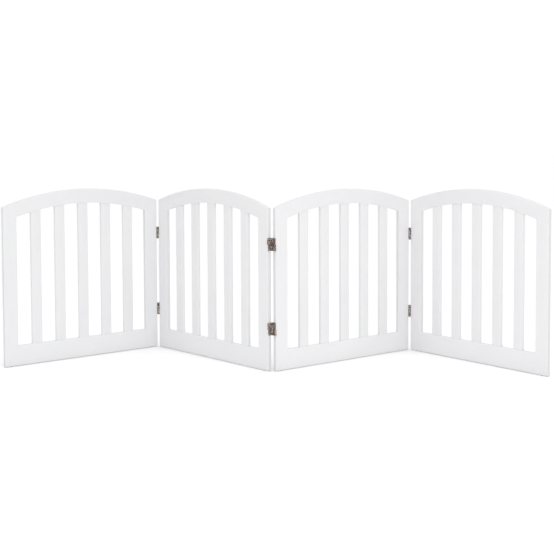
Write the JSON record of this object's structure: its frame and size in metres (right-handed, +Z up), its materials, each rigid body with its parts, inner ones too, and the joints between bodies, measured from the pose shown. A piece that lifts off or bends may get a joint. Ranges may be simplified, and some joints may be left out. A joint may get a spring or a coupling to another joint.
{
  "type": "folding pet gate",
  "caption": "Free-standing folding pet gate: white painted wooden panels with arched tops and flat upright slats, zigzag on the floor, joined by hinges that fold either way.",
  "frame": {"origin": "on the floor, under the centre of the gate's bounding box as it stands in its zigzag", "axes": "+Z up, X along the standing gate from panel 1 at -X to panel 4 at +X, the front faces -Y"},
  "size_m": [1.8254, 0.4592, 0.597],
  "materials": {
    "white_paint": "satin white paint on smooth sanded wood",
    "bronze": "aged bronze finish on steel, satin",
    "rubber": "matt",
    "beech": "bare fluted beech"
  },
  "bodies": {
    "panel_1": {"left_stile_1": "white_paint", "right_stile_1": "white_paint", "bottom_rail_1": "white_paint", "top_rail_1": "white_paint", "slat_1_1": "white_paint", "slat_1_2": "white_paint", "slat_1_3": "white_paint", "slat_1_4": "white_paint", "slat_1_5": "white_paint", "dowels_1": "beech", "feet_1": "rubber", "hinge_leaves_1": "bronze", "hinge_links_1": "bronze", "hinge_pins_1": "bronze", "hinge_screws_1": "bronze"},
    "panel_2": {"left_stile_2": "white_paint", "right_stile_2": "white_paint", "bottom_rail_2": "white_paint", "top_rail_2": "white_paint", "slat_2_1": "white_paint", "slat_2_2": "white_paint", "slat_2_3": "white_paint", "slat_2_4": "white_paint", "slat_2_5": "white_paint", "dowels_2": "beech", "feet_2": "rubber", "hinge_leaves_2": "bronze", "hinge_links_2": "bronze", "hinge_pins_2": "bronze", "hinge_screws_2": "bronze"},
    "panel_3": {"left_stile_3": "white_paint", "right_stile_3": "white_paint", "bottom_rail_3": "white_paint", "top_rail_3": "white_paint", "slat_3_1": "white_paint", "slat_3_2": "white_paint", "slat_3_3": "white_paint", "slat_3_4": "white_paint", "slat_3_5": "white_paint", "dowels_3": "beech", "feet_3": "rubber", "hinge_leaves_3": "bronze", "hinge_links_3": "bronze", "hinge_pins_3": "bronze", "hinge_screws_3": "bronze"},
    "panel_4": {"left_stile_4": "white_paint", "right_stile_4": "white_paint", "bottom_rail_4": "white_paint", "top_rail_4": "white_paint", "slat_4_1": "white_paint", "slat_4_2": "white_paint", "slat_4_3": "white_paint", "slat_4_4": "white_paint", "slat_4_5": "white_paint", "dowels_4": "beech", "feet_4": "rubber", "hinge_leaves_4": "bronze", "hinge_links_4": "bronze", "hinge_pins_4": "bronze", "hinge_screws_4": "bronze"}
  },
  "joints": [
    {"name": "fold_1_2", "type": "hinge", "parent": "panel_2", "child": "panel_1", "pos_m": [-0.45352, 0.21365, 0.283], "axis": [0, 0, 1], "range_deg": [-86.5, 93.5]},
    {"name": "fold_2_3", "type": "hinge", "parent": "panel_2", "child": "panel_3", "pos_m": [0.00553, -0.19605, 0.283], "axis": [0, 0, 1], "range_deg": [-86, 92.8]},
    {"name": "fold_3_4", "type": "hinge", "parent": "panel_3", "child": "panel_4", "pos_m": [0.47165, 0.20558, 0.283], "axis": [0, 0, -1], "range_deg": [-88, 92]}
  ]
}
